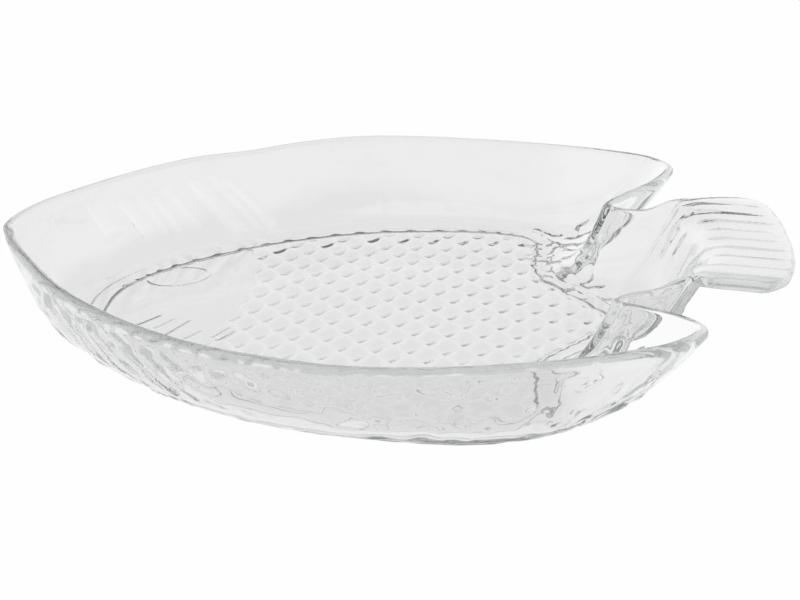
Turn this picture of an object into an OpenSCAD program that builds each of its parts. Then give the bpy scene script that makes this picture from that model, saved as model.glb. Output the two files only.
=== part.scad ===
// Fish shaped platter, pressed in clear glass.
// The head lies towards -X, the ribbed tail fan towards +X and the back of the fish towards +Y.
// The origin is on the table under the middle of the platter's box.

/* [Platter] */
// Length from the snout to the end of the tail
platter_len = 348; // [260:2:420]
// Width across the widest part of the rim
platter_w = 240; // [190:5:290]
// Height of the rim above the table
rim_h = 46; // [36:1:60]

/* [Glass] */
// Thickness of the wall and of its full round lip
wall_t = 5; // [4:0.25:6.5]
// Thickness of the floor
floor_t = 5; // [4:0.25:6.5]

/* [Foot] */
// Height of the foot ring under the floor
foot_h = 2; // [1.5:0.25:3.5]
// Width of the foot ring
foot_w = 8; // [6:0.5:10]

/* [Scales] */
// Width of one scale across the fish
scale_w = 15.6; // [12:0.2:20]
// Distance between one column of scales and the next
scale_step = 7.6; // [6:0.1:9]
// Height of a scale below the floor
scale_h = 0.8; // [0.4:0.1:1.2]
// Width of the groove round each scale
scale_groove = 0.7; // [0.4:0.1:1.2]
// Plain margin between the scales and the foot ring
scale_margin = 1.5; // [1:0.5:4]

/* [Head] */
// Radius of the gill edge
gill_r = 147; // [125:1:170]
// Distance of the gill edge from the snout
gill_x = 105; // [90:1:120]
// Width of the raised lines of the head
line_w = 2; // [1.2:0.1:3]
// Height of the raised lines below the floor
line_h = 1; // [0.4:0.1:1.3]
// Length of the eye
eye_len = 27; // [18:1:32]
// Height of the eye across the fish
eye_w = 20; // [14:1:26]
// Number of cheek rays
ray_count = 5; // [3:1:7]

/* [Tail] */
// Width of the tail fan at its widest
fan_w = 88; // [84:1:100]
// Depth of the curve of the fan's end
fan_crown = 11; // [4:0.5:14]
// Number of ribs across the fan
rib_count = 10; // [6:1:14]
// Height of a rib below the fan
rib_h = 1.3; // [0.6:0.1:2]

/* [Hidden] */

// The glass as the photograph shows it
clear_glass = [0.80, 0.88, 0.87, 0.55];
relief_glass = [0.70, 0.81, 0.80, 0.75];

// The rim, from the snout along the back, round the fin tip and the notch, to the middle of the fan's root.
// Along: share of the length from the snout. Out: share of the half width. Up: share of the rim's height.
rim_along_share = [0, 0.008, 0.037, 0.113, 0.191, 0.265, 0.337, 0.416, 0.494, 0.601, 0.718, 0.816,
    0.858, 0.875, 0.851, 0.813, 0.790, 0.803, 0.838, 0.871, 0.879, 0.884, 0.885];
back_out_share = [0, 0.117, 0.267, 0.517, 0.700, 0.790, 0.905, 0.983, 1, 0.977, 0.925, 0.847,
    0.780, 0.692, 0.567, 0.482, 0.421, 0.375, 0.358, 0.375, 0.250, 0.125, 0];
belly_out_share = [0, 0.071, 0.214, 0.490, 0.684, 0.817, 0.908, 0.967, 1, 0.985, 0.915, 0.808,
    0.732, 0.650, 0.552, 0.467, 0.404, 0.354, 0.321, 0.302, 0.201, 0.101, 0];
rim_up_share = [1, 1, 1, 1, 1, 1, 1, 1, 1, 1, 1, 1,
    1, 0.996, 0.965, 0.915, 0.874, 0.870, 0.887, 0.980, 0.980, 0.980, 0.980];

// The edge of the flat floor, matched to the rim row by row
floor_along_share = [0.124, 0.126, 0.140, 0.174, 0.234, 0.295, 0.360, 0.429, 0.503, 0.598, 0.659, 0.684,
    0.690, 0.690, 0.689, 0.687, 0.689, 0.699, 0.722, 0.748, 0.768, 0.782, 0.788];
floor_out_share = [0, 0.083, 0.190, 0.308, 0.448, 0.556, 0.637, 0.700, 0.733, 0.747, 0.722, 0.675,
    0.620, 0.567, 0.508, 0.450, 0.383, 0.317, 0.238, 0.163, 0.096, 0.040, 0];

// Rows of the tables at which one region of the pressing gives way to the next
head_row = 4;
fin_row = 11;
neck_row = 19;
tail_row = len(rim_along_share) - 1;
last_row = 2 * tail_row;

// Stations between two rows of the tables, and columns of the fan between two stations
row_steps = 4;
fan_steps = 3;

// The wall leaves the floor level and steepens: the reach grows as this power of the height.
// The power is lower, and the wall fuller, round the fins and most of all round the snout.
bow_power = 0.52;
snout_bow = 0.2;
snout_from_share = 0.7;
snout_over_share = 0.25;
fin_bow = 0.07;
fin_over_share = 0.8;
wall_rise_share = [0, 0.03, 0.12, 0.27, 0.5, 0.76];
thin_share = 0.3;
lip_steps = 6;

// The fan's flare from its root to its end, as shares of the widest, and the steps along it
fan_flare_share = [0, 0.45, 0.8, 0.95, 1, 0.85];
fan_run_share = [0, 0.07, 0.2, 0.4, 0.6, 0.77, 0.88, 0.94, 0.98, 1];
edge_flat_share = 0.2;

// Eye and rays of the head: shares of the length from the snout and of the half width
eye_along_share = 0.202;
eye_out_share = 0.285;
ray_along_share = 0.169;
ray_pitch_share = 0.027;
ray_out_share = -0.155;
ray_drop_share = 0.022;
ray_length_share = 0.039;
ray_turn = 57;

half_len = platter_len / 2;
half_w = platter_w / 2;
lip_r = wall_t / 2;
floor_top = foot_h + floor_t;
fan_top = rim_h * rim_up_share[tail_row];
root_back = half_w * back_out_share[neck_row];
root_belly = half_w * belly_out_share[neck_row];
root_w = root_back + root_belly;
steps_total = last_row * row_steps;

// Row of the tables for a row of the closed loop, which runs back along the belly side
function table_row(r) = r <= tail_row ? r : last_row - r;
function on_back(r) = r <= tail_row;

// Control point of the loop: rim along, rim out, rim up, floor along, floor out
function control(r) =
    let (
        i = (r % last_row + last_row) % last_row,
        k = table_row(i),
        side = on_back(i) ? 1 : -1,
        out_share = on_back(i) ? back_out_share[k] : belly_out_share[k]
    )
    [
        rim_along_share[k] * platter_len - half_len,
        side * out_share * half_w,
        rim_up_share[k] * rim_h,
        floor_along_share[k] * platter_len - half_len,
        side * floor_out_share[k] * half_w
    ];

// Smooth curve through four neighbouring values
function spline(a, b, c, d, t) =
    b + 0.5 * t * ((c - a) + t * ((2 * a - 5 * b + 4 * c - d) + t * (3 * (b - c) + d - a)));

// Station s of the loop, between its control points
function station(s) =
    let (r = floor(s / row_steps), t = s / row_steps - r)
    spline(control(r - 1), control(r), control(r + 1), control(r + 2), t);

function rim_at(p) = [p[0], p[1]];
function floor_at(p) = [p[3], p[4]];
function reach_of(p) = norm(rim_at(p) - floor_at(p));
function outward(p) = (rim_at(p) - floor_at(p)) / reach_of(p);
function floor_edge(s, out = 0) =
    let (p = station(s))
    floor_at(p) + out * outward(p);

// Thickness of the glass at a share t of the wall's rise, from the floor's to the wall's
function glass_at(t) = floor_t + (wall_t - floor_t) * min(1, t / thin_share);

// Share that rises smoothly from none to all while x rises from none to one
function smooth(x) =
    let (c = max(0, min(1, x)))
    c * c * (3 - 2 * c);

// Power of the wall's curve where the wall leans out along e
function bow_towards(e) =
    bow_power
    - snout_bow * smooth((-e[0] - snout_from_share) / snout_over_share)
    - fin_bow * smooth(e[0] / fin_over_share);

// Middle line of the wall in its own plane, and the unit vector along it
function middle(reach, up, bow, t) =
    let (start = foot_h + floor_t / 2)
    [foot_w + (reach - lip_r - foot_w) * pow(t, bow), start + (up - lip_r - start) * t];
function along(reach, up, bow, t) =
    t == 0 ? [1, 0] :
    let (
        run = (reach - lip_r - foot_w) * bow * pow(t, bow - 1),
        rise = up - lip_r - foot_h - floor_t / 2
    )
    [run, rise] / norm([run, rise]);
function inward(v) = [-v[1], v[0]];

// Outline of the wall in its own plane: under the foot ring, up the outside, over the lip, down the inside
function wall_outline(reach, up, bow, flat_end) =
    let (
        top = middle(reach, up, bow, 1),
        run = along(reach, up, bow, 1),
        turn = 180 / lip_steps
    )
    concat(
        [[0, foot_h]],
        [for (t = wall_rise_share)
            middle(reach, up, bow, t) - glass_at(t) / 2 * inward(along(reach, up, bow, t))],
        [for (k = [0:lip_steps])
            flat_end && k <= lip_steps / 2
                ? [reach, up - wall_t + wall_t * 2 * k / lip_steps]
                : top + lip_r * (sin(k * turn) * run - cos(k * turn) * inward(run))],
        [for (i = [len(wall_rise_share) - 1:-1:0])
            let (t = wall_rise_share[i])
            middle(reach, up, bow, t) + glass_at(t) / 2 * inward(along(reach, up, bow, t))],
        [[0, floor_top]]
    );

function in_neck(s) = s >= neck_row * row_steps && s <= (last_row - neck_row) * row_steps;

// The wall's outline at a station, placed in space
function section(s, flat_end) =
    let (
        p = station(s),
        from = floor_at(p),
        e = outward(p),
        up = in_neck(s) ? fan_top : p[2]
    )
    [for (q = wall_outline(reach_of(p), up, bow_towards(e), flat_end))
        [from[0] + q[0] * e[0], from[1] + q[0] * e[1], q[1]]];

// Triangles that close an outline of n points whose two halves run side by side
function cap(n) =
    [for (a = [0:floor(n / 2) - 1])
        let (b = a + 1, c = n - 2 - a, d = n - 1 - a)
        each (b < c ? [[a, b, c], [a, c, d]] : b == c ? [[a, b, d]] : [])];

// Solid through a list of closed outlines that have the same number of points
module loft(rings) {
    n = len(rings[0]);
    m = len(rings);
    ends = cap(n);
    polyhedron(
        points = [for (ring = rings) for (p = ring) p],
        faces = concat(
            [for (t = ends) [t[2], t[1], t[0]]],
            [for (t = ends) [for (j = t) (m - 1) * n + j]],
            [for (i = [0:m - 2]) for (j = [0:n - 1])
                [i * n + j, i * n + (j + 1) % n, (i + 1) * n + j]],
            [for (i = [0:m - 2]) for (j = [0:n - 1])
                [(i + 1) * n + j, i * n + (j + 1) % n, (i + 1) * n + (j + 1) % n]]
        ),
        convexity = 6
    );
}

// Wall of the pressing between two rows of the loop
module wall(from_row, to_row, flat_end = false) {
    loft([for (s = [to_row * row_steps:-1:from_row * row_steps]) section(s, flat_end)]);
}

module snout_wall() {
    color(clear_glass)
        wall(-head_row, head_row);
}

module back_wall() {
    color(clear_glass)
        wall(head_row, fin_row);
}

module belly_wall() {
    color(clear_glass)
        wall(last_row - fin_row, last_row - head_row);
}

// Fin corner with its end wall and the side of the notch
module back_fin() {
    color(clear_glass)
        wall(fin_row, neck_row);
}

module belly_fin() {
    color(clear_glass)
        wall(last_row - neck_row, last_row - fin_row);
}

// Scoop that rises from the floor's point to the root of the fan
module tail_neck() {
    color(clear_glass)
        wall(neck_row, last_row - neck_row, true);
}

// Flat floor of the dish, which ends in a point at the tail
module floor() {
    color(clear_glass)
        translate([0, 0, foot_h])
            linear_extrude(floor_t)
                polygon([for (s = [0:steps_total - 1]) floor_edge(s)]);
}

module foot_ring() {
    color(clear_glass)
        linear_extrude(foot_h)
            difference() {
                polygon([for (s = [0:steps_total - 1]) floor_edge(s, foot_w)]);
                polygon([for (s = [0:steps_total - 1]) floor_edge(s)]);
            }
}

// Value of a table of shares at a share u of its whole run
function table_at(table, u) =
    let (
        last = len(table) - 1,
        i = min(last - 1, floor(u * last)),
        t = u * last - i,
        a = table[max(0, i - 1)],
        d = table[min(last, i + 2)]
    )
    spline(a, table[i], table[i + 1], d, t);

// How far a point of the fan's root lies to its side: none in the middle, one at the root's end
function root_side(root) = root[1] < 0 ? root_belly : root_back;
function out_on_root(root) = abs(root[1]) / root_side(root);

// Point of the fan: root is its point on the neck, u runs from the root to the end
function fan_at(root, u) =
    let (
        v = min(1, out_on_root(root)),
        end = half_len - fan_crown * (1 - sqrt(1 - v * v)),
        flare = (fan_w / root_w - 1) * table_at(fan_flare_share, u)
    )
    [root[0] + (end - root[0]) * u, root[1] * (1 + flare)];

// Full round edge: share of the half thickness at a distance from the fan's outline
function edge_share(d) = d >= lip_r ? 1 : max(edge_flat_share, sqrt(max(0, 1 - pow(1 - d / lip_r, 2))));

// How far the ribs stand out at a point of the fan, none at the root
function rib_at(root, u) =
    rib_h * min(1, u / fan_run_share[2]) * (1 + cos(360 * rib_count * (root[1] + root_belly) / root_w)) / 2;

// Column of the fan's surface at a point of its root, on one face
function fan_column(root, down) =
    [for (u = fan_run_share)
        let (
            p = fan_at(root, u),
            to_side = (1 - out_on_root(root)) * root_side(root),
            to_end = norm(fan_at(root, 1) - p),
            share = edge_share(min(to_side, to_end)),
            half = down ? -lip_r - rib_at(root, u) : lip_r
        )
        [p[0], p[1], fan_top - lip_r + share * half]];

// Roots of the fan's columns, on the straight lines between the neck's stations
fan_roots = [for (s = [neck_row * row_steps:(last_row - neck_row) * row_steps - 1]) for (k = [0:fan_steps - 1])
    let (t = k / fan_steps)
    rim_at(station(s)) * (1 - t) + rim_at(station(s + 1)) * t];

// Ribbed flange of the tail, with the ribs below and a full round edge
module tail_fan() {
    n = len(fan_run_share);
    roots = concat(fan_roots, [rim_at(station((last_row - neck_row) * row_steps))]);
    color(relief_glass)
        loft([for (root = roots)
            concat(fan_column(root, true), [for (i = [n - 1:-1:0]) fan_column(root, false)[i]])]);
}

// Outline of the floor's underside inside the foot ring
module underside(margin) {
    polygon([for (s = [0:steps_total - 1]) floor_edge(s, -margin)]);
}

// Disc whose edge is the gill edge, with its centre level with the eye's lower side
module gill_disc(r) {
    translate([gill_x - half_len - gill_r, eye_out_share * half_w / 2])
        circle(r = r, $fn = 180);
}

// One scale: a disc, cut by the two scales that lie over its root
module scale_shape() {
    difference() {
        circle(r = (scale_w - scale_groove) / 2, $fn = 48);
        for (side = [-1, 1])
            translate([-scale_step, side * scale_w / 2])
                circle(r = (scale_w + scale_groove) / 2, $fn = 48);
    }
}

// Staggered columns of scales, from the gill edge to the floor's point
module scale_field() {
    columns = ceil((platter_len * floor_along_share[tail_row] - gill_x) / scale_step) + 1;
    rows = ceil(half_w / scale_w);
    color(relief_glass)
        translate([0, 0, foot_h - scale_h])
            linear_extrude(scale_h)
                intersection() {
                    difference() {
                        underside(scale_margin);
                        gill_disc(gill_r + scale_groove);
                    }
                    union() {
                        for (i = [-2:columns], j = [-rows:rows])
                            translate([
                                gill_x - half_len + i * scale_step,
                                (j + (abs(i) % 2) / 2) * scale_w
                            ])
                                scale_shape();
                    }
                }
}

// Band between two ellipses
module eye_shape() {
    difference() {
        polygon([for (a = [0:10:350]) [eye_len / 2 * cos(a), eye_w / 2 * sin(a)]]);
        polygon([for (a = [0:10:350]) [(eye_len / 2 - line_w) * cos(a), (eye_w / 2 - line_w) * sin(a)]]);
    }
}

// Cheek ray, tapering to a point
module ray_shape() {
    length = ray_length_share * platter_len;
    polygon([[0, 0], [length * 0.6, line_w / 2], [length, line_w * 0.6], [length, -line_w * 0.6],
        [length * 0.6, -line_w / 2]]);
}

// Gill edge, eye and cheek rays under the head
module head_relief() {
    color(relief_glass)
        translate([0, 0, foot_h - line_h])
            linear_extrude(line_h)
                intersection() {
                    underside(scale_margin);
                    gill_disc(gill_r);
                    union() {
                        difference() {
                            gill_disc(gill_r);
                            gill_disc(gill_r - line_w);
                        }
                        translate([eye_along_share * platter_len - half_len, eye_out_share * half_w])
                            rotate(12)
                                eye_shape();
                        for (i = [0:ray_count - 1])
                            translate([
                                (ray_along_share + i * ray_pitch_share) * platter_len - half_len,
                                (ray_out_share - i * ray_drop_share) * half_w
                            ])
                                rotate(ray_turn)
                                    ray_shape();
                    }
                }
}

floor();
foot_ring();
snout_wall();
back_wall();
belly_wall();
back_fin();
belly_fin();
tail_neck();
tail_fan();
scale_field();
head_relief();
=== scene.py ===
# Fish shaped platter: one pressing of clear glass on a white table.
# The head lies towards -X, the ribbed tail fan towards +X and the back of the fish towards +Y.
# Shapes are worked out in millimetres, with X measured from the snout, and are placed in metres.
import math

import bpy
import numpy as np
from mathutils import Matrix, Vector
from mathutils.geometry import delaunay_2d_cdt


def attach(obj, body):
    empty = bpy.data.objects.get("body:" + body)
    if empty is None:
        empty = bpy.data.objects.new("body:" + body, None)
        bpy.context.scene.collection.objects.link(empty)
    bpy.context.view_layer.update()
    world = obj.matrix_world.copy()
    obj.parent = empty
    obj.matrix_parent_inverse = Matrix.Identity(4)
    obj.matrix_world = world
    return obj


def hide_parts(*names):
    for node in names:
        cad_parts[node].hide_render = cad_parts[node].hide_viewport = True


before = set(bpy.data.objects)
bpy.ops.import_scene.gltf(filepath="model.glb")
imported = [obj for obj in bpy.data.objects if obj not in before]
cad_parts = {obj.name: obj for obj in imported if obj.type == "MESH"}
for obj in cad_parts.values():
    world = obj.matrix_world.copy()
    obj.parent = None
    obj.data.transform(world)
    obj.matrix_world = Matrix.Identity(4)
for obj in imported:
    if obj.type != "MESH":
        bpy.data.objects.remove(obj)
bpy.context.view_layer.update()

# One millimetre in metres, and half the platter's length in millimetres
MM = 0.001
HALF_LEN = 174.0
# Millimetres to metres, a hair under so that the fine outline stays inside the plainer solids' box
SNUG = MM * 0.999

# Thickness of the glass, height and width of the foot ring, and height of the floor's upper side
GLASS = 5.0
HALF_GLASS = GLASS / 2
FOOT_H = 2.0
FOOT_W = 8.0
FLOOR_TOP = FOOT_H + GLASS

# Rows of the pressing, from the snout along one side to the middle of the fan's end
# Rim: distance from the snout, distance from the middle line on the back side and on the belly side, height
RIM_X = [0, 2.8, 13, 39.2, 66.4, 92.2, 117.4, 144.6, 171.8, 209.2, 250, 284, 298.5, 304.5,
         296, 283, 274.8, 279.4, 291.5, 303, 314.2, 325.2, 334.2, 340.7, 343.7, 346.4, 347.5, 348]
RIM_BACK = [0, 14, 32, 62, 84, 94.8, 108.6, 118, 120, 117.3, 111, 101.6, 93.6, 83,
            68, 57.8, 50.5, 45, 43, 45, 48, 49.4, 49.2, 45.8, 41, 29.5, 19, 0]
RIM_BELLY = [0, 8.5, 25.7, 58.8, 82.1, 98, 109, 116, 120, 118.2, 109.8, 97, 87.8, 78,
             66.2, 56, 48.5, 42.5, 38.5, 36.2, 35.6, 37, 38, 33.5, 27, 17, 7, 0]
RIM_Z = [46, 46, 46, 46, 46, 46, 46, 46, 46, 46, 46, 46, 46, 45.8,
         44.4, 42.1, 40.2, 40, 40.8, 45, 45, 45, 45, 45, 45, 45, 45, 45]
# Edge of the flat floor, row by row with the rim
FLOOR_X = [43.3, 44, 48.7, 60.6, 81.4, 102.8, 125.2, 149.4, 174.9, 208.2, 229.3, 238.1, 240.1, 240.1,
           239.8, 239.1, 239.8, 243.2, 251.4, 260.2, 262.7, 264.7, 266.5, 268.2, 269.9, 271.7, 273.4, 274.2]
FLOOR_Y = [0, 10, 22.8, 37, 53.8, 66.7, 76.4, 84, 88, 89.6, 86.6, 81, 74.4, 68,
           61, 54, 46, 38, 28.6, 19.5, 16.5, 14.2, 12.2, 10, 7.8, 5.2, 2.6, 0]
# Width of the level flange outside the wall
FLANGE = [0] * 20 + [11.7, 23.5, 32.6, 37.8, 39, 38.5, 38, 37]
ROWS = len(RIM_X)

# Power of the wall's curve, and how much less it is round the snout and round the fins
BOW = 0.52
SNOUT_BOW = 0.2
FIN_BOW = 0.07
# How far towards the snout the first begins and how fast it grows, and how fast the other does
SNOUT_FROM, SNOUT_FADE = 0.7, 0.25
FIN_FADE = 0.8
# How far the bends at the foot of the wall and under the flange reach from their corners
HEEL_CUT = 5.0
SHELF_CUT = 8.0

# Distance between stations at the rim, fewest stations from one row to the next, and points in each station's
# outline over the inside, down the outside and, one less, round the lip
STATION_GAP = 1.7
FEWEST = 5
INNER_STEPS = 12
OUTER_STEPS = 40
LIP_STEPS = 7
# Steps in the working lines that these are drawn from
SOLE_STEPS = 8
WALL_STEPS = 60
SHELF_STEPS = 24
BEND_STEPS = 12

# Where the outside of the wall leaves the foot, measured along the middle of the glass from the floor's edge
OUTER_START = FOOT_W + 0.9
# Outline of the foot ring, from its outer edge to its inner one: distance outwards from the floor's edge, and
# height
FOOT_LINE = [(8.15, 1.7), (8.05, 1.0), (7.75, 0.35), (7.1, 0.0), (5.6, 0.0), (4.0, 0.0), (2.4, 0.0),
             (1.1, 0.0), (0.5, 0.25), (0.2, 0.8), (0.0, 1.4), (-0.3, 1.85), (-0.9, 2.0)]
# How many points of that outline are its outer edge, and the first point of its inner edge
FOOT_OUTER = 4
FOOT_INNER = 7
# Waviness of the foot's edges all round, and more of it towards the neck, from a place along the fish
FOOT_WAVE = 0.1
NECK_WAVE = 0.4
NECK_WAVE_X, NECK_WAVE_FADE = 218, 14
# Knots along the foot's inner edge on the back side: distance apart at the rim, from and to, how softly they
# start and end, and how far they widen and lift the edge
KNOT_GAP = 14.0
KNOTS_FROM, KNOTS_TO = 15, 330
KNOTS_START, KNOTS_END = 20, 60
KNOT_W, KNOT_H = 0.9, 1.0
# Rounder knots where the foot turns along the neck: from and to, how softly they start and end, how far they
# widen the foot's inner edge, and how far they lift its inner and its outer edge
BLOBS_FROM, BLOBS_TO = 340, 455
BLOBS_START, BLOBS_END = 20, 10
BLOB_W, INNER_BLOB_H, OUTER_BLOB_H = 1.8, 1.5, 1.7
# Share of the wrinkles that the foot shows, and the most that wrinkles and knots may lift it
FOOT_CREASE = 1.1
FOOT_LIFT = 2.5

# Scales under the floor: width across the fish, distance between columns and radius
SCALE_W = 15.69
SCALE_STEP = 7.56
SCALE_R = 8.3
# Slope of a scale's edge, and how much steeper it is towards the back of the fish
SCALE_SLOPE = 0.14
SCALE_LEAN = 0.15
# Height of a scale in its middle, how it rises towards the tail, and how soft its corners are
SCALE_H = 0.55
SCALE_TILT = 0.075
SCALE_BLEND = 0.03
# Centre of one scale, the columns and rows of scales counted from it, and how far they reach across the fish
SCALE_X = 224.2
SCALE_Y = 25.1
SCALE_COLUMNS = range(-18, 8)
SCALE_ROWS = range(-8, 8)
SCALE_REACH = 96
# How far round its centre a scale is worked out, in radii
SCALE_NEAR = 1.6
# How softly the scales start behind the gill edge, and how softly the floor's pattern ends along the foot
GILL_FADE = 1.5
FOOT_FADE = 1.8
# Points of the net under the floor for each scale, and the net's columns and rows from that scale
NET_X, NET_Y = 10, 20
NET_COLUMNS = (-245, 75)
NET_ROWS = (-160, 95)
# Least distance from the net's points to the foot's inner edge, and to the table
NET_CLEAR = 0.7
LOWEST = 0.3
# Net on the floor's upper side: from and to along the fish and across it, and distance between points
TOP_NET = (35, 280, -95, 95)
TOP_GAP = 5.0

# Gill edge: centre and radius of its circle, height and half width of its ridge
GILL_X = -42.3
GILL_Y = 21.0
GILL_R = 147.4
GILL_H, GILL_W = 0.5, 2.2
# Eye ring: centre, half length and half width, a radius between these two, tilt in degrees, height and half
# width of its ridge
EYE_X, EYE_Y = 69, 30.5
EYE_LONG, EYE_HIGH = 14.5, 9.5
EYE_BETWEEN = 11.5
EYE_TILT = 18
EYE_RIDGE_H, EYE_RIDGE_W = 0.45, 1.4
# Rays of the cheek: both ends, half width and height, and how softly they start and end
CHEEK_RAYS = [(60.6, -19.1, 70, -8, 2.4, 1.1), (70, -21.5, 77.5, -10.5, 1.6, 0.7),
              (75, -29, 84.5, -12, 1.9, 0.9), (85.5, -30, 92, -21, 1.6, 0.7),
              (97, -29, 104, -16.5, 2, 1.3), (100, -31, 107, -20, 2, 1.3)]
RAY_START, RAY_END = 3, 2

# Ribs under the tail fan: distance apart, height, lean, and the place along the fish that they lean round
RIB_GAP = 9.0
RIB_H = 0.65
RIB_SKEW = 0.14
RIB_MIDDLE = 326
# Curved root of the ribs: place in the middle, how far back its sides lie, half width
RIB_ROOT = 308
RIB_ROOT_BEND = 5
RIB_ROOT_HALF = 45
# End of the ribs, and how softly they rise from their root and fall at their end
RIB_END = 346
RIB_RISE, RIB_FALL = 9, 5

# Hammered outside of the wall. A run is a place along the rim from the snout, above zero on the back side
# Seed of the random draws, number of spots, farthest run, lowest and highest place up the wall, least and
# greatest size, depth
SPOT_SEED = 5
SPOTS = 760
SPOT_RUN = 440
SPOT_LOW, SPOT_HIGH = 3, 50
SPOT_SMALL, SPOT_LARGE = 2.6, 5.5
SPOT_DEPTH = 0.5
# How much deeper or shallower they are: on the back side, high up, along the belly's end and round the tail
BACK_SHARE = 0.5
TOP_SHARE, TOP_FROM = 1.5, 32
BELLY_END_SHARE, BELLY_END_FROM, BELLY_END_TO = 1.5, -345, -225
TAIL_SHARE, TAIL_FROM = 1.6, 345
# A few deep spots like lenses: run, place up the wall, size, depth
LENS_SPOTS = [(-276, 27, 6, 0.9), (-292, 20, 6.5, 0.9), (-160, 37, 4, 0.8), (-184, 39, 4, 0.7)]
# Smudges under the rim on the belly side: first and last run, distance apart, place up the wall and how far
# it sways, size, depth of the hollow ones, and how much less that of the raised ones is
SMUDGE_FIRST, SMUDGE_LAST, SMUDGE_GAP = -195, -50, 5.6
SMUDGE_UP, SMUDGE_SWAY, SMUDGE_SIZE = 38, 2.5, 3.4
SMUDGE_DEPTH, SMUDGE_SWING = 1.25, 2.35
# Raised lines on the wall, both sides alike: first and last run, lean, lowest and highest
WALL_LINES = [(49, 60, 6, 22, 46), (66, 100, 10, 14, 40), (105, 128, 22, 6, 44)]
# Distance between them, how far each may stand aside, lie lower and be bolder, and how softly they end
LINE_GAP = 6
LINE_ASIDE, LINE_LOWER, LINE_BOLDER = 1.8, 0.2, 0.4
LINE_END = 4
# Half width and height of the raised lines on the two sides
BACK_LINE_W, BELLY_LINE_W = 3.2, 2.1
BACK_LINE_H, BELLY_LINE_H = 1.1, 0.5
# How far from the foot and from the lip spots and lines start, and how softly
PATTERN_LOW, PATTERN_TOP, PATTERN_FADE = 1, 0.5, 4
# Seed of the random draws for the wrinkles
PUCKER_SEED = 9
# Wrinkles: how many, from and to along the fish and across it, depth
PUCKERS = [(115, 237, 272, 16, 92, 1.5), (26, 241, 268, -66, -28, 0.5), (16, 298, 306, 26, 42, 0.9),
           (16, 296, 306, -40, -24, 0.9), (20, 302, 314, -24, 26, 0.4)]
# Least and greatest spread of a wrinkle
PUCKER_SMALL, PUCKER_LARGE = 1.2, 2.1
# How far below the rim the wrinkles have faded out, and how far before that they start to fade
PUCKER_TOP, PUCKER_FADE = 12, 8
# The part of the floor that shows them, and their share there
CREASE_Y, CREASE_FADE = 36, 8
FLOOR_CREASE = 0.4

# Light painted into the glass's colour, as paleness from 0 to 1: where nothing else is said, the plain tint
# with no painted light, and how much more is painted on the far streaks, the fan and the inside of the fins.
# The lines where scales meet and the notches are painted palest
PLAIN = 0.13
STREAK_PAINTED_LIGHT = 0.5
FAN_PAINTED_LIGHT = 0.5
FIN_PAINTED_LIGHT = 0.5
# Where the fan's, the fins' and the notches' painted light starts along the fish, and how softly
FAN_FROM, FAN_SOFT = 300, 12
FIN_FROM, FIN_SOFT = 240, 20
# The fins' starts this far from the middle line, and the notches' lies where the floor's edge is between
# these two distances from it. How softly each starts and ends
FIN_ASIDE = 40
NOTCH_NEAR, NOTCH_FAR = 38, 80
ASIDE_SOFT = 8
NEAR_SOFT = 10
# How fast the painted light of a line where two scales meet fades with the step in height beside it
MEETING_FADE = 0.3

# Tint of the glass where it is darkest, and where painted light makes it palest, and the tint of its depth,
# with the strength of that per metre
DARK_GLASS = (0.85, 0.851, 0.85, 1)
PAINTED_LIGHT_GLASS = (1, 1, 1, 1)
DEPTH_COLOUR = (0.0, 0.04, 0.03, 1)
DEPTH_DENSITY = 6.0
# Share of lamplight that each side of the glass lets through, and of the light that was caught inside
LAMP_SHARE = (0.93, 0.945, 0.94, 1)
LEAK_SHARE = (0.95, 0.952, 0.951, 1)
# Reflections, and bounces of all kinds, after which light counts as caught inside
MOST_REFLECTIONS = 3.5
MOST_BOUNCES = 10.5
# Roughness of the surface, how much the glass bends light, and the surface's faint waviness
GLASS_ROUGH = 0.01
GLASS_IOR = 1.52
WAVE_SCALE, WAVE_DETAIL = 45, 1.5
WAVE_STRENGTH, WAVE_DEPTH = 0.25, 0.0006

# Surroundings: white up to the first height and dark from the second, which are sines of angles
WHITE_BELOW, DARK_ABOVE = 0.3, 0.6
# Shade above, at the back and at the front, and how far back and front these are
BACK_SHADE = (0.31, 0.32, 0.32, 1)
FRONT_SHADE = (0.1, 0.105, 0.105, 1)
BACK_FROM, FRONT_FROM = 0.9, -0.4
# Table: half its side and how far it lies under the foot, in metres, share of it that glows white, colour
# and roughness
TABLE_HALF = 2.6
TABLE_DROP = 0.0002
TABLE_GLOW = 0.985
TABLE_WHITE = (0.9, 0.9, 0.9, 1)
TABLE_ROUGH = 0.9
# Lamp: sides, place and the place that it shines at, in metres, and power in watts
LAMP_SIDES = (2.4, 2.0)
LAMP_PLACE = (-0.7, -0.9, 1.9)
LAMP_AIM = (0, 0, 0.02)
LAMP_POWER = 10
# Camera: place in metres, turn to the left, downward tilt and roll in degrees, focal length in millimetres
CAMERA_PLACE = (0.06342, -0.51467, 0.28287)
CAMERA_YAW, CAMERA_PITCH, CAMERA_ROLL = 6.461, 27.632, -1.255
CAMERA_LENS = 58.5


def loop_rows():
    """Rows round the whole loop: rim x, y, z, floor x, y and flange."""
    rows = []
    for k in range(ROWS):
        rows.append((RIM_X[k], RIM_BACK[k], RIM_Z[k], FLOOR_X[k], FLOOR_Y[k], FLANGE[k]))
    for k in range(ROWS - 2, 0, -1):
        rows.append((RIM_X[k], -RIM_BELLY[k], RIM_Z[k], FLOOR_X[k], -FLOOR_Y[k], FLANGE[k]))
    return np.array(rows, float)


def spline(a, b, c, d, t):
    """Smooth curve through four neighbouring rows."""
    return b + 0.5 * t * ((c - a) + t * ((2 * a - 5 * b + 4 * c - d) + t * (3 * (b - c) + d - a)))


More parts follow.
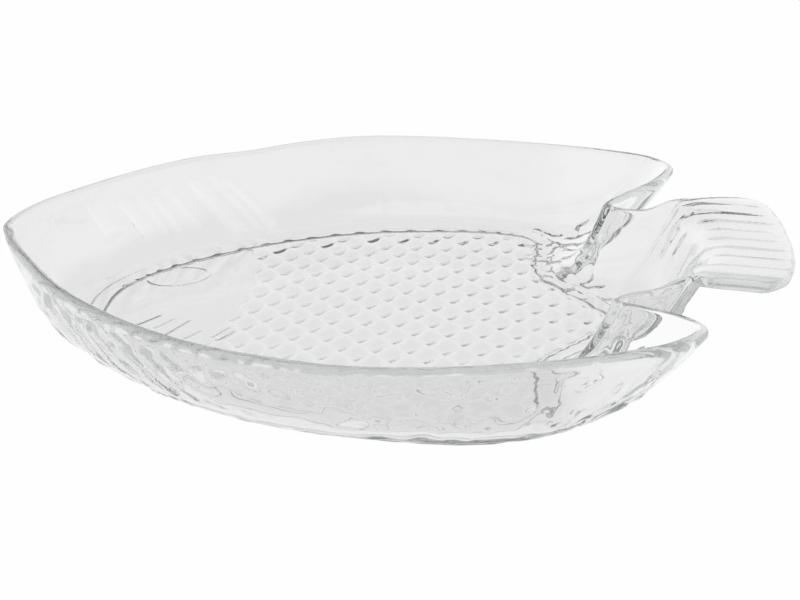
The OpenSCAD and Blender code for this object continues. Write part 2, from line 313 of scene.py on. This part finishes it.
def stations():
    """Rows of the loop with stations between them, about one station gap apart at the rim."""
    rows = loop_rows()
    count = len(rows)
    out = []
    for k in range(count):
        a, b, c, d = (rows[(k + j) % count] for j in (-1, 0, 1, 2))
        steps = max(FEWEST, round(float(np.linalg.norm(c[:2] - b[:2])) / STATION_GAP))
        for i in range(steps):
            p = spline(a, b, c, d, i / steps)
            p[5] = max(0.0, p[5])
            out.append(p)
    return out


def evenly(line, count, start=0.0):
    """A line of points, stepped evenly along its length from a distance at its start."""
    along = np.concatenate([[0], np.cumsum(np.linalg.norm(np.diff(line, axis=0), axis=1))])
    want = np.linspace(start, along[-1], count)
    return np.column_stack([np.interp(want, along, line[:, 0]), np.interp(want, along, line[:, 1])])


def rounded(line, corner, cut):
    """A line whose corner is replaced by a smooth bend that starts and ends a distance from it."""
    gaps = np.linalg.norm(line - line[corner], axis=1)
    before = max(j for j in range(corner) if gaps[j] >= cut or j == 0)
    after = min(j for j in range(corner + 1, len(line)) if gaps[j] >= cut or j == len(line) - 1)
    a, k, b = line[before], line[corner], line[after]
    t = np.linspace(0, 1, BEND_STEPS + 1)[:, None]
    bend = a * (1 - t) ** 2 + 2 * k * t * (1 - t) + b * t ** 2
    return np.vstack([line[:before], bend, line[after + 1:]])


def bow_towards(out):
    """Power of the wall's curve in a direction: less makes the wall fuller."""
    snout = smooth_step((-out[0] - SNOUT_FROM) / SNOUT_FADE)
    fins = smooth_step(out[0] / FIN_FADE)
    return BOW - SNOUT_BOW * snout - FIN_BOW * fins


def middle_line(reach, up, flange, bow):
    """Middle of the glass in the plane of a station, from the floor's edge to the lip."""
    low = FOOT_H + HALF_GLASS
    top = up - HALF_GLASS
    shelf = max(flange, HALF_GLASS)
    corner = reach - shelf
    t = np.linspace(0, 1, WALL_STEPS + 1)[:, None]
    wall = np.hstack([FOOT_W + (corner - FOOT_W) * t ** bow, low + (top - low) * t])
    sole = np.column_stack([np.linspace(0, FOOT_W, SOLE_STEPS + 1)[:-1], np.full(SOLE_STEPS, low)])
    line = np.vstack([sole, wall])
    line = rounded(line, SOLE_STEPS, HEEL_CUT)
    length = shelf - HALF_GLASS
    if length > 0.05:
        end = len(line) - 1
        outward = corner + np.linspace(0, length, SHELF_STEPS + 1)[1:]
        level = np.column_stack([outward, np.full(SHELF_STEPS, top)])
        line = rounded(np.vstack([line, level]), end, min(SHELF_CUT, 0.45 * length))
    return line


def side_normals(line):
    """Unit normals of a line, on its inner side."""
    run = np.gradient(line, axis=0)
    run /= np.linalg.norm(run, axis=1)[:, None]
    return np.column_stack([-run[:, 1], run[:, 0]])


def smooth_step(x):
    """Smooth rise from nothing at zero to one at one."""
    x = np.clip(x, 0, 1)
    return x * x * (3 - 2 * x)


def ridge(d, width):
    """Rounded ridge: one in its middle, nothing beyond its width."""
    return smooth_step(1 - np.abs(d) / width)


def rib_height(x, y):
    """How far the ribs stand out under the fan: they lie a little askew and are not all alike."""
    root = RIB_ROOT - RIB_ROOT_BEND * (y / RIB_ROOT_HALF) ** 2
    fan = smooth_step((x - root - 1) / RIB_RISE) * smooth_step((RIB_END - x) / RIB_FALL)
    across = (y + RIB_SKEW * (x - RIB_MIDDLE)) / RIB_GAP
    each = 0.75 + 0.25 * np.cos(1.9 * np.round(across))
    return RIB_H * each * fan * (1 + np.cos(2 * math.pi * across)) / 2


def hammered_spots():
    """Spots of the mould's hammered wall: place along the rim, place up the wall, size and depth."""
    pick = np.random.default_rng(SPOT_SEED)
    run = pick.uniform(-SPOT_RUN, SPOT_RUN, SPOTS)
    up = pick.uniform(SPOT_LOW, SPOT_HIGH, SPOTS)
    size = pick.uniform(SPOT_SMALL, SPOT_LARGE, SPOTS)
    depth = pick.uniform(-SPOT_DEPTH, SPOT_DEPTH, SPOTS)
    depth = depth * np.where(run < 0, 1, BACK_SHARE) * np.where(up > TOP_FROM, TOP_SHARE, 1)
    depth *= np.where((run < BELLY_END_TO) & (run > BELLY_END_FROM), BELLY_END_SHARE, 1)
    depth *= np.where(abs(run) > TAIL_FROM, TAIL_SHARE, 1)
    spots = list(zip(run, up, size, depth)) + LENS_SPOTS
    for k, place in enumerate(np.arange(SMUDGE_FIRST, SMUDGE_LAST, SMUDGE_GAP)):
        height = SMUDGE_UP + SMUDGE_SWAY * math.sin(2.1 * k)
        spots.append((place, height, SMUDGE_SIZE, SMUDGE_DEPTH - SMUDGE_SWING * (k % 2)))
    return spots


def puckers(x, y):
    """Wrinkles of the glass where the bowl turns into the neck and where the neck turns into the fan."""
    pick = np.random.default_rng(PUCKER_SEED)
    height = np.zeros_like(x)
    for count, x_low, x_high, y_low, y_high, deep in PUCKERS:
        for px, py in zip(pick.uniform(x_low, x_high, count), pick.uniform(y_low, y_high, count)):
            spread = pick.uniform(PUCKER_SMALL, PUCKER_LARGE)
            away = (x - px) ** 2 + (y - py) ** 2
            height += pick.choice([-deep, deep]) * np.exp(-away / (2 * spread ** 2))
    return height


def stroke(run, up, start, end, width):
    """Rounded line on the wall between two places, one along its middle and nothing beyond its width."""
    length = math.hypot(end[0] - start[0], end[1] - start[1])
    cx, cy = (end[0] - start[0]) / length, (end[1] - start[1]) / length
    along = (run - start[0]) * cx + (up - start[1]) * cy
    aside = (up - start[1]) * cx - (run - start[0]) * cy
    ends = smooth_step(along / LINE_END + 0.5), smooth_step((length - along) / LINE_END + 0.5)
    return ridge(aside, width) * ends[0] * ends[1]


def wall_spots(run, up):
    """Depth of the hammered spots in the outside of the wall."""
    hollow = np.zeros_like(up)
    for spot_run, spot_up, size, depth in hammered_spots():
        if abs(run - spot_run) < 3 * size:
            away = (up - spot_up) ** 2 + (run - spot_run) ** 2
            hollow += depth * np.exp(-away / (2 * (0.55 * size) ** 2))
    return hollow


def wall_lines(run, up, width):
    """How much of a raised line there is on the outside of the wall."""
    lines = np.zeros_like(up)
    for first, last, lean, low, high in WALL_LINES:
        for k, even in enumerate(np.arange(first, last, LINE_GAP)):
            start = even + LINE_ASIDE * math.sin(5 * k)
            if abs(run - start - lean / 2) < abs(lean) + 4:
                drop = (high - low) * LINE_LOWER * (1 + math.sin(3 * k))
                line = stroke(run, up, (start, high - drop), (start + lean, low), width)
                lines += (1 + LINE_BOLDER * math.cos(4 * k)) * line
    return lines


def runs_along(places):
    """Place of every station along the rim from the snout, above zero on the back side."""
    steps = [float(np.linalg.norm(b[:2] - a[:2])) for a, b in zip(places, places[1:] + places[:1])]
    whole = sum(steps)
    runs = [sum(steps[:k]) for k in range(len(places))]
    return [run - whole if run > whole / 2 else run for run in runs]


def round_lip(end, normal):
    """Points round the lip, from the inner side of the wall to the outer."""
    tip = np.array([normal[1], -normal[0]])
    turns = np.linspace(0, math.pi, LIP_STEPS + 1)[1:-1]
    return [end + HALF_GLASS * (math.cos(a) * normal + math.sin(a) * tip) for a in turns]


def patterned_outside(line, run, floor, out):
    """Outer side of a station's wall, up from the foot, with its pattern, and how much of a line it shows."""
    outer = evenly(line, OUTER_STEPS, OUTER_START)
    normals = side_normals(outer)
    x = floor[0] + outer[:, 0] * out[0]
    y = floor[1] + outer[:, 0] * out[1]
    up = np.concatenate([[0], np.cumsum(np.linalg.norm(np.diff(outer, axis=0), axis=1))])
    shown = smooth_step((up - PATTERN_LOW) / PATTERN_FADE)
    shown = shown * smooth_step((up[-1] - PATTERN_TOP - up) / PATTERN_FADE)
    lines = wall_lines(abs(run), up, BACK_LINE_W if run > 0 else BELLY_LINE_W)
    raised = lines * (BACK_LINE_H if run > 0 else BELLY_LINE_H)
    creases = puckers(x, y) * smooth_step((up[-1] - PUCKER_TOP - up) / PUCKER_FADE)
    hollow = (wall_spots(run, up) - raised) * shown + creases
    depth = HALF_GLASS - hollow + rib_height(x, y)
    return outer - depth[:, None] * normals, lines * shown


def foot_outline(run, floor, out):
    """Outline of the foot ring at a station, with its waves, knots and wrinkles."""
    foot = np.array(FOOT_LINE)
    towards_neck = smooth_step((floor[0] - NECK_WAVE_X) / NECK_WAVE_FADE)
    foot[:, 0] += NECK_WAVE * towards_neck * math.sin(0.9 * floor[1] + 0.4 * floor[0])
    foot[:, 0] += FOOT_WAVE * math.sin(0.5 * floor[0]) * math.sin(0.37 * floor[1])
    foot_x, foot_y = floor[0] + foot[:, 0] * out[0], floor[1] + foot[:, 0] * out[1]

    knot = smooth_step((run - KNOTS_FROM) / KNOTS_START) * smooth_step((KNOTS_TO - run) / KNOTS_END)
    knot = knot * math.cos(math.pi * run / KNOT_GAP) ** 16
    neck = smooth_step((run - BLOBS_FROM) / BLOBS_START) * smooth_step((BLOBS_TO - run) / BLOBS_END)
    inner_blob = neck * math.cos(math.pi * (run + 3 * math.sin(run / 7)) / KNOT_GAP) ** 6
    outer_blob = neck * math.cos(math.pi * (run + 6 + 3 * math.sin(run / 5)) / KNOT_GAP) ** 6
    foot[FOOT_INNER:-1, 0] -= KNOT_W * knot + BLOB_W * inner_blob

    lift = FOOT_CREASE * np.maximum(puckers(foot_x, foot_y), 0)
    lift[FOOT_INNER:] += KNOT_H * knot * (1 + 0.3 * math.sin(run)) + INNER_BLOB_H * inner_blob
    lift[:FOOT_OUTER] += OUTER_BLOB_H * outer_blob
    foot[1:-2, 1] += np.minimum(lift, FOOT_LIFT)[1:-2]
    return foot


def wall_painted_light(x, y, inside, aside):
    """Light painted into the glass's colour on the wall: more over the fan and inside the fins, most round the
    notches.
    """
    fan = FAN_PAINTED_LIGHT * smooth_step((x - FAN_FROM) / FAN_SOFT)
    tail_end = smooth_step((x - FIN_FROM) / FIN_SOFT)
    fin = FIN_PAINTED_LIGHT * tail_end * smooth_step((abs(y) - FIN_ASIDE) / ASIDE_SOFT) if inside else 0
    notch = tail_end * smooth_step((NOTCH_FAR - aside) / ASIDE_SOFT)
    notch = notch * smooth_step((aside - NOTCH_NEAR) / NEAR_SOFT)
    return PLAIN + (1 - PLAIN) * max(fan, fin, notch)


def station_ring(place, run):
    """One station's outline in space, over the inside, round the lip, down the outside and round the foot,
    with the light painted into the glass's colour at each point."""
    rim, floor = place[:2], place[3:5]
    reach = float(np.linalg.norm(rim - floor))
    out = (rim - floor) / reach
    line = middle_line(reach, place[2], place[5], bow_towards(out))
    inner = evenly(line, INNER_STEPS)
    normals = side_normals(inner)
    normals[0] = (0, 1)
    outside, streak = patterned_outside(line, run, floor, out)
    foot = foot_outline(run, floor, out)
    lip = round_lip(inner[-1], normals[-1])
    ring = np.vstack([inner + HALF_GLASS * normals, lip, outside[::-1], foot])
    x = floor[0] + ring[:, 0] * out[0]
    y = floor[1] + ring[:, 0] * out[1]

    # Light painted into the glass's colour: the plain tint, more along the back wall's streaks, over the fan,
    # inside the fins and round the notches
    shade = np.full(len(ring), PLAIN)
    if run > 0:
        first = INNER_STEPS + len(lip)
        shade[first:first + OUTER_STEPS] += STREAK_PAINTED_LIGHT * streak[::-1]
    others = [wall_painted_light(x[j], y[j], j < INNER_STEPS, abs(floor[1])) for j in range(len(ring))]
    return np.column_stack([x, y, ring[:, 1], np.minimum(np.maximum(shade, others), 1)])


def pressing_rings():
    """Outlines of all the stations round the pressing."""
    places = stations()
    return np.array([station_ring(place, run) for place, run in zip(places, runs_along(places))])


def scale_centres():
    """Centres of the staggered scales, from the head to the tail."""
    centres = []
    for i in SCALE_COLUMNS:
        for j in SCALE_ROWS:
            x = SCALE_X + i * SCALE_STEP
            y = SCALE_Y + (j + (abs(i) % 2) / 2) * SCALE_W
            if math.hypot(x - GILL_X, y - GILL_Y) > GILL_R - SCALE_R and abs(y) < SCALE_REACH:
                centres.append((x, y))
    return centres


def scale_relief(x, y):
    """Height of the scales, and how near each point is to a line where two of them meet, up to one, which is
    used to paint light along those lines.
    """
    total = np.zeros_like(x)
    first = np.full_like(x, -1)
    second = np.full_like(x, -1)
    for cx, cy in scale_centres():
        near = np.abs(x - cx) + np.abs(y - cy) < SCALE_NEAR * SCALE_R
        u = x[near] - cx
        d = np.hypot(u, y[near] - cy)
        top = SCALE_H + SCALE_TILT * u
        side = SCALE_SLOPE * (1 + SCALE_LEAN * (y[near] - cy) / np.maximum(d, 0.1)) * (SCALE_R - d)
        plate = -SCALE_BLEND * np.log(np.exp(-top / SCALE_BLEND) + np.exp(-side / SCALE_BLEND))
        total[near] += np.exp(np.maximum(plate, 0) / SCALE_BLEND) - 1
        second[near] = np.maximum(second[near], np.minimum(first[near], plate))
        first[near] = np.maximum(first[near], plate)
    return SCALE_BLEND * np.log(total + 1), np.exp((second - first) / MEETING_FADE)


def head_relief(x, y):
    """Height of the eye ring, the cheek rays and the gill edge."""
    gill = np.hypot(x - GILL_X, y - GILL_Y) - GILL_R
    height = GILL_H * ridge(gill, GILL_W)
    a = math.radians(EYE_TILT)
    u = (x - EYE_X) * math.cos(a) + (y - EYE_Y) * math.sin(a)
    v = (y - EYE_Y) * math.cos(a) - (x - EYE_X) * math.sin(a)
    oval = (np.hypot(u / EYE_LONG, v / EYE_HIGH) - 1) * EYE_BETWEEN
    height = np.maximum(height, EYE_RIDGE_H * ridge(oval, EYE_RIDGE_W))
    for x0, y0, x1, y1, width, high in CHEEK_RAYS:
        length = math.hypot(x1 - x0, y1 - y0)
        cx, cy = (x1 - x0) / length, (y1 - y0) / length
        along = (x - x0) * cx + (y - y0) * cy
        aside = (y - y0) * cx - (x - x0) * cy
        reach = smooth_step(along / RAY_START) * smooth_step((length - along) / RAY_END + 0.5)
        height = np.maximum(height, high * ridge(aside, width) * reach)
    return height


def inside_loop(points, loop):
    """True for the points inside a closed loop."""
    x, y = points[:, 0], points[:, 1]
    hit = np.zeros(len(points), bool)
    for a, b in zip(loop, np.roll(loop, -1, axis=0)):
        cross = (a[1] > y) != (b[1] > y)
        if a[1] != b[1]:
            hit ^= cross & (x < a[0] + (y - a[1]) * (b[0] - a[0]) / (b[1] - a[1]))
    return hit


def distance_to(points, loop):
    """Distance from each point to a closed loop of close points."""
    best = np.full(len(points), 1e9)
    for q in loop:
        best = np.minimum(best, np.hypot(points[:, 0] - q[0], points[:, 1] - q[1]))
    return best


def net(x_low, x_high, y_low, y_high, gap):
    """Staggered net of points."""
    rows = []
    for j, y in enumerate(np.arange(y_low, y_high, gap * 0.866)):
        x = np.arange(x_low, x_high, gap) + (j % 2) * gap / 2
        rows.append(np.column_stack([x, np.full(len(x), y)]))
    return np.vstack(rows)


def thin_out(points, keep, gap):
    """Leaves out the points nearer than a gap to the kept ones."""
    cells = {}
    for p in keep:
        cells.setdefault((int(p[0] // gap), int(p[1] // gap)), []).append(p)
    out = []
    for p in points:
        i, j = int(p[0] // gap), int(p[1] // gap)
        clash = False
        for a in (i - 1, i, i + 1):
            for b in (j - 1, j, j + 1):
                for q in cells.get((a, b), ()):
                    if (p[0] - q[0]) ** 2 + (p[1] - q[1]) ** 2 < gap * gap:
                        clash = True
        if not clash:
            out.append(p)
    return np.array(out)


def fill(loop, points):
    """Triangles over a closed loop and the points inside it, and which of these each corner comes from."""
    verts = [Vector(p) for p in loop] + [Vector(p) for p in points]
    count = len(loop)
    edges = [(i, (i + 1) % count) for i in range(count)]
    made = delaunay_2d_cdt(verts, edges, [], 1, 1e-6)
    return made[0], made[2], made[3]


def under_floor(low_loop):
    """Net of points under the floor, the height of each and the light painted into the glass's colour there.
    """
    columns = SCALE_X + SCALE_STEP / NET_X * np.arange(*NET_COLUMNS)
    rows = SCALE_Y + SCALE_W / NET_Y * np.arange(*NET_ROWS)
    points = np.array([(x, y) for x in columns for y in rows])
    points = points[inside_loop(points, low_loop)]
    points = thin_out(points, low_loop, NET_CLEAR)

    x, y = points[:, 0], points[:, 1]
    behind = smooth_step((np.hypot(x - GILL_X, y - GILL_Y) - GILL_R) / GILL_FADE)
    margin = smooth_step(distance_to(points, low_loop) / FOOT_FADE)
    relief, meeting = scale_relief(x, y)
    relief *= behind
    relief = np.maximum(relief, head_relief(x, y)) * margin
    creased = smooth_step((y - CREASE_Y) / CREASE_FADE)
    relief += FLOOR_CREASE * np.abs(puckers(x, y)) * creased * margin
    # Painted light along the lines where scales meet, fading out before the gill edge and towards the foot
    painted_light_values = PLAIN + (meeting - PLAIN) * behind * margin
    return points, np.maximum(FOOT_H - relief, LOWEST), painted_light_values


def platter_mesh():
    """The whole pressing as one closed mesh."""
    rings = pressing_rings()
    count, size = rings.shape[:2]
    verts = [tuple(q[:3]) for ring in rings for q in ring]
    # Light painted into the glass's colour at each point, kept as a point attribute for the material
    painted_light = [q[3] for ring in rings for q in ring]
    faces = []
    for i in range(count):
        n = (i + 1) % count
        for j in range(size - 1):
            faces.append((i * size + j, n * size + j, n * size + j + 1, i * size + j + 1))

    def sheet(loop, base, points, heights, painted_light_values, flip):
        """Closes a loop of the rings with a flat or patterned sheet through the points inside it."""
        made, tris, origin = fill(loop, points)
        index = {}
        for k, source in enumerate(origin):
            kept = [s for s in source if s < len(loop)]
            if kept:
                index[k] = base(kept[0])
            else:
                index[k] = len(verts)
                verts.append((made[k][0], made[k][1], heights[source[0] - len(loop)]))
                painted_light.append(painted_light_values[source[0] - len(loop)])
        for tri in tris:
            a, b, c = (index[t] for t in tri)
            if len({a, b, c}) == 3:
                faces.append((a, c, b) if flip else (a, b, c))

    top_loop = rings[:, 0, :2]
    low_loop = rings[:, -1, :2]

    inset = net(*TOP_NET, TOP_GAP)
    inset = inset[inside_loop(inset, top_loop)]
    inset = inset[distance_to(inset, top_loop) > TOP_GAP / 2]
    even = np.ones(len(inset))
    sheet(top_loop, lambda i: i * size, inset, FLOOR_TOP * even, PLAIN * even, False)

    points, heights, painted_light_values = under_floor(low_loop)
    sheet(low_loop, lambda i: i * size + size - 1, points, heights, painted_light_values, True)

    placed = [((v[0] - HALF_LEN) * SNUG, v[1] * SNUG, v[2] * SNUG) for v in verts]
    mesh = bpy.data.meshes.new("platter_glass")
    mesh.from_pydata(placed, [], faces)
    mesh.validate()
    mesh.update()
    mesh.shade_smooth()
    mesh.attributes.new("painted_light", "FLOAT", "POINT").data.foreach_set("value", painted_light)
    return mesh


def node_at(tree, kind, place, **values):
    """A shader node at a place in its tree, with its settings."""
    node = tree.nodes.new(kind)
    node.location = place
    for key, value in values.items():
        setattr(node, key, value)
    return node


def pressed_glass():
    """Clear soda-lime glass, faintly wavy, with light painted into its colour from a point attribute. Light
    that stays caught in it long is let straight through.
    """
    mat = bpy.data.materials.new("pressed_glass")
    mat.use_nodes = True
    tree = mat.node_tree
    tree.nodes.clear()
    out = node_at(tree, "ShaderNodeOutputMaterial", (900, 0))
    glass = node_at(tree, "ShaderNodeBsdfPrincipled", (300, 0))
    glass.inputs["Roughness"].default_value = GLASS_ROUGH
    glass.inputs["IOR"].default_value = GLASS_IOR
    glass.inputs["Transmission Weight"].default_value = 1.0
    body = node_at(tree, "ShaderNodeVolumeAbsorption", (600, -300))
    body.inputs["Color"].default_value = DEPTH_COLOUR
    body.inputs["Density"].default_value = DEPTH_DENSITY
    lamps = node_at(tree, "ShaderNodeBsdfTransparent", (300, -500))
    lamps.inputs["Color"].default_value = LAMP_SHARE
    leak = node_at(tree, "ShaderNodeBsdfTransparent", (300, -650))
    leak.inputs["Color"].default_value = LEAK_SHARE
    path = node_at(tree, "ShaderNodeLightPath", (0, 500))
    trapped = node_at(tree, "ShaderNodeMath", (300, 600), operation="GREATER_THAN")
    trapped.inputs[1].default_value = MOST_REFLECTIONS
    ending = node_at(tree, "ShaderNodeMath", (300, 450), operation="GREATER_THAN")
    ending.inputs[1].default_value = MOST_BOUNCES
    deep = node_at(tree, "ShaderNodeMath", (450, 500), operation="MAXIMUM")
    deep_mix = node_at(tree, "ShaderNodeMixShader", (550, 0))
    either = node_at(tree, "ShaderNodeMath", (500, 300), operation="MAXIMUM")
    mix = node_at(tree, "ShaderNodeMixShader", (750, 0))
    # Painted light: the point attribute mixes the glass's colour from its plain tint towards white
    painted_light = node_at(tree, "ShaderNodeAttribute", (-450, 300), attribute_name="painted_light")
    tint_with_painted_light = node_at(tree, "ShaderNodeMix", (0, 200), data_type="RGBA")
    tint_with_painted_light.inputs["A"].default_value = DARK_GLASS
    tint_with_painted_light.inputs["B"].default_value = PAINTED_LIGHT_GLASS
    place = node_at(tree, "ShaderNodeTexCoord", (-700, 0))
    wave = node_at(tree, "ShaderNodeTexNoise", (-450, 0))
    wave.inputs["Scale"].default_value = WAVE_SCALE
    wave.inputs["Detail"].default_value = WAVE_DETAIL
    bump = node_at(tree, "ShaderNodeBump", (0, -300))
    bump.inputs["Strength"].default_value = WAVE_STRENGTH
    bump.inputs["Distance"].default_value = WAVE_DEPTH
    link = tree.links.new
    link(painted_light.outputs["Fac"], tint_with_painted_light.inputs["Factor"])
    link(tint_with_painted_light.outputs["Result"], glass.inputs["Base Color"])
    link(place.outputs["Object"], wave.inputs["Vector"])
    link(wave.outputs["Fac"], bump.inputs["Height"])
    link(bump.outputs["Normal"], glass.inputs["Normal"])
    link(path.outputs["Is Shadow Ray"], either.inputs[0])
    link(path.outputs["Is Diffuse Ray"], either.inputs[1])
    link(either.outputs[0], mix.inputs[0])
    link(path.outputs["Glossy Depth"], trapped.inputs[0])
    link(path.outputs["Ray Depth"], ending.inputs[0])
    link(trapped.outputs[0], deep.inputs[0])
    link(ending.outputs[0], deep.inputs[1])
    link(deep.outputs[0], deep_mix.inputs[0])
    link(glass.outputs[0], deep_mix.inputs[1])
    link(leak.outputs[0], deep_mix.inputs[2])
    link(deep_mix.outputs[0], mix.inputs[1])
    link(lamps.outputs[0], mix.inputs[2])
    link(mix.outputs[0], out.inputs["Surface"])
    link(body.outputs[0], out.inputs["Volume"])
    return mat


def white_table():
    """Plain table, white as the background to the camera, to gloss and through glass, and clear from below."""
    mat = bpy.data.materials.new("white_table")
    mat.use_nodes = True
    tree = mat.node_tree
    tree.nodes.clear()
    out = node_at(tree, "ShaderNodeOutputMaterial", (900, 0))
    paint = node_at(tree, "ShaderNodeBsdfPrincipled", (0, 0))
    paint.inputs["Base Color"].default_value = TABLE_WHITE
    paint.inputs["Roughness"].default_value = TABLE_ROUGH
    paint.inputs["Specular IOR Level"].default_value = 0.0
    glow = node_at(tree, "ShaderNodeEmission", (0, -400))
    glow.inputs["Strength"].default_value = 1.0
    path = node_at(tree, "ShaderNodeLightPath", (-600, 400))
    seen = node_at(tree, "ShaderNodeMath", (-300, 400), operation="MAXIMUM")
    through = node_at(tree, "ShaderNodeMath", (-100, 400), operation="MAXIMUM")
    share = node_at(tree, "ShaderNodeMath", (100, 400), operation="MULTIPLY")
    share.inputs[1].default_value = TABLE_GLOW
    mix = node_at(tree, "ShaderNodeMixShader", (400, 0))
    side = node_at(tree, "ShaderNodeNewGeometry", (300, 500))
    under = node_at(tree, "ShaderNodeBsdfTransparent", (400, -400))
    open_below = node_at(tree, "ShaderNodeMixShader", (650, 0))
    link = tree.links.new
    link(path.outputs["Is Camera Ray"], seen.inputs[0])
    link(path.outputs["Is Glossy Ray"], seen.inputs[1])
    link(seen.outputs[0], through.inputs[0])
    link(path.outputs["Is Transmission Ray"], through.inputs[1])
    link(through.outputs[0], share.inputs[0])
    link(share.outputs[0], mix.inputs[0])
    link(paint.outputs[0], mix.inputs[1])
    link(glow.outputs[0], mix.inputs[2])
    link(side.outputs["Backfacing"], open_below.inputs[0])
    link(mix.outputs[0], open_below.inputs[1])
    link(under.outputs[0], open_below.inputs[2])
    link(open_below.outputs[0], out.inputs["Surface"])
    return mat


def studio():
    """White table, soft surroundings that are darker above and towards the front, and one soft lamp."""
    scene = bpy.context.scene
    mesh = bpy.data.meshes.new("table_top")
    corners = [(TABLE_HALF * i, TABLE_HALF * j, 0) for i, j in ((-1, -1), (1, -1), (1, 1), (-1, 1))]
    mesh.from_pydata(corners, [], [(0, 1, 2, 3)])
    table = bpy.data.objects.new("table_top", mesh)
    scene.collection.objects.link(table)
    table.location.z = -TABLE_DROP
    mesh.materials.append(white_table())

    world = bpy.data.worlds.new("studio")
    scene.world = world
    world.use_nodes = True
    tree = world.node_tree
    tree.nodes.clear()
    out = node_at(tree, "ShaderNodeOutputWorld", (900, 0))
    back = node_at(tree, "ShaderNodeBackground", (700, 0))
    place = node_at(tree, "ShaderNodeTexCoord", (-700, 0))
    axes = node_at(tree, "ShaderNodeSeparateXYZ", (-500, 0))
    above = node_at(tree, "ShaderNodeMapRange", (-250, 100), interpolation_type="SMOOTHSTEP")
    above.inputs["From Min"].default_value = WHITE_BELOW
    above.inputs["From Max"].default_value = DARK_ABOVE
    front = node_at(tree, "ShaderNodeMapRange", (-250, -200), interpolation_type="SMOOTHSTEP")
    front.inputs["From Min"].default_value = BACK_FROM
    front.inputs["From Max"].default_value = FRONT_FROM
    shade = node_at(tree, "ShaderNodeMix", (100, 0), data_type="RGBA")
    shade.inputs["A"].default_value = BACK_SHADE
    shade.inputs["B"].default_value = FRONT_SHADE
    whole = node_at(tree, "ShaderNodeMix", (400, 0), data_type="RGBA")
    whole.inputs["A"].default_value = (1, 1, 1, 1)
    link = tree.links.new
    link(place.outputs["Generated"], axes.inputs[0])
    link(axes.outputs["Z"], above.inputs["Value"])
    link(axes.outputs["Y"], front.inputs["Value"])
    link(front.outputs["Result"], shade.inputs["Factor"])
    link(above.outputs["Result"], whole.inputs["Factor"])
    link(shade.outputs["Result"], whole.inputs["B"])
    link(whole.outputs["Result"], back.inputs["Color"])
    link(back.outputs[0], out.inputs["Surface"])

    data = bpy.data.lights.new("soft_lamp", "AREA")
    data.shape = "RECTANGLE"
    data.size, data.size_y = LAMP_SIDES
    data.energy = LAMP_POWER
    lamp = bpy.data.objects.new("soft_lamp", data)
    scene.collection.objects.link(lamp)
    lamp.location = LAMP_PLACE
    aim = Vector(LAMP_AIM) - lamp.location
    lamp.rotation_euler = aim.to_track_quat("-Z", "Y").to_euler()
    scene.view_settings.view_transform = "Standard"


def photo_camera():
    """Camera where the photograph was taken from."""
    yaw, pitch, roll = (math.radians(turn) for turn in (CAMERA_YAW, CAMERA_PITCH, CAMERA_ROLL))
    ahead = Vector((-math.sin(yaw) * math.cos(pitch), math.cos(yaw) * math.cos(pitch), -math.sin(pitch)))
    right = Vector((math.cos(yaw), math.sin(yaw), 0))
    up = right.cross(ahead)
    x = math.cos(roll) * right + math.sin(roll) * up
    y = math.cos(roll) * up - math.sin(roll) * right
    data = bpy.data.cameras.new("photo_camera")
    data.lens = CAMERA_LENS
    data.sensor_width = 36
    data.clip_start = 0.01
    camera = bpy.data.objects.new("photo_camera", data)
    bpy.context.scene.collection.objects.link(camera)
    camera.matrix_world = Matrix((
        (x[0], y[0], -ahead[0], CAMERA_PLACE[0]),
        (x[1], y[1], -ahead[1], CAMERA_PLACE[1]),
        (x[2], y[2], -ahead[2], CAMERA_PLACE[2]),
        (0, 0, 0, 1)))
    bpy.context.scene.camera = camera


photo_camera()
studio()

platter = bpy.data.objects.new("platter_glass", platter_mesh())
bpy.context.scene.collection.objects.link(platter)
platter.data.materials.append(pressed_glass())
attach(platter, "root")
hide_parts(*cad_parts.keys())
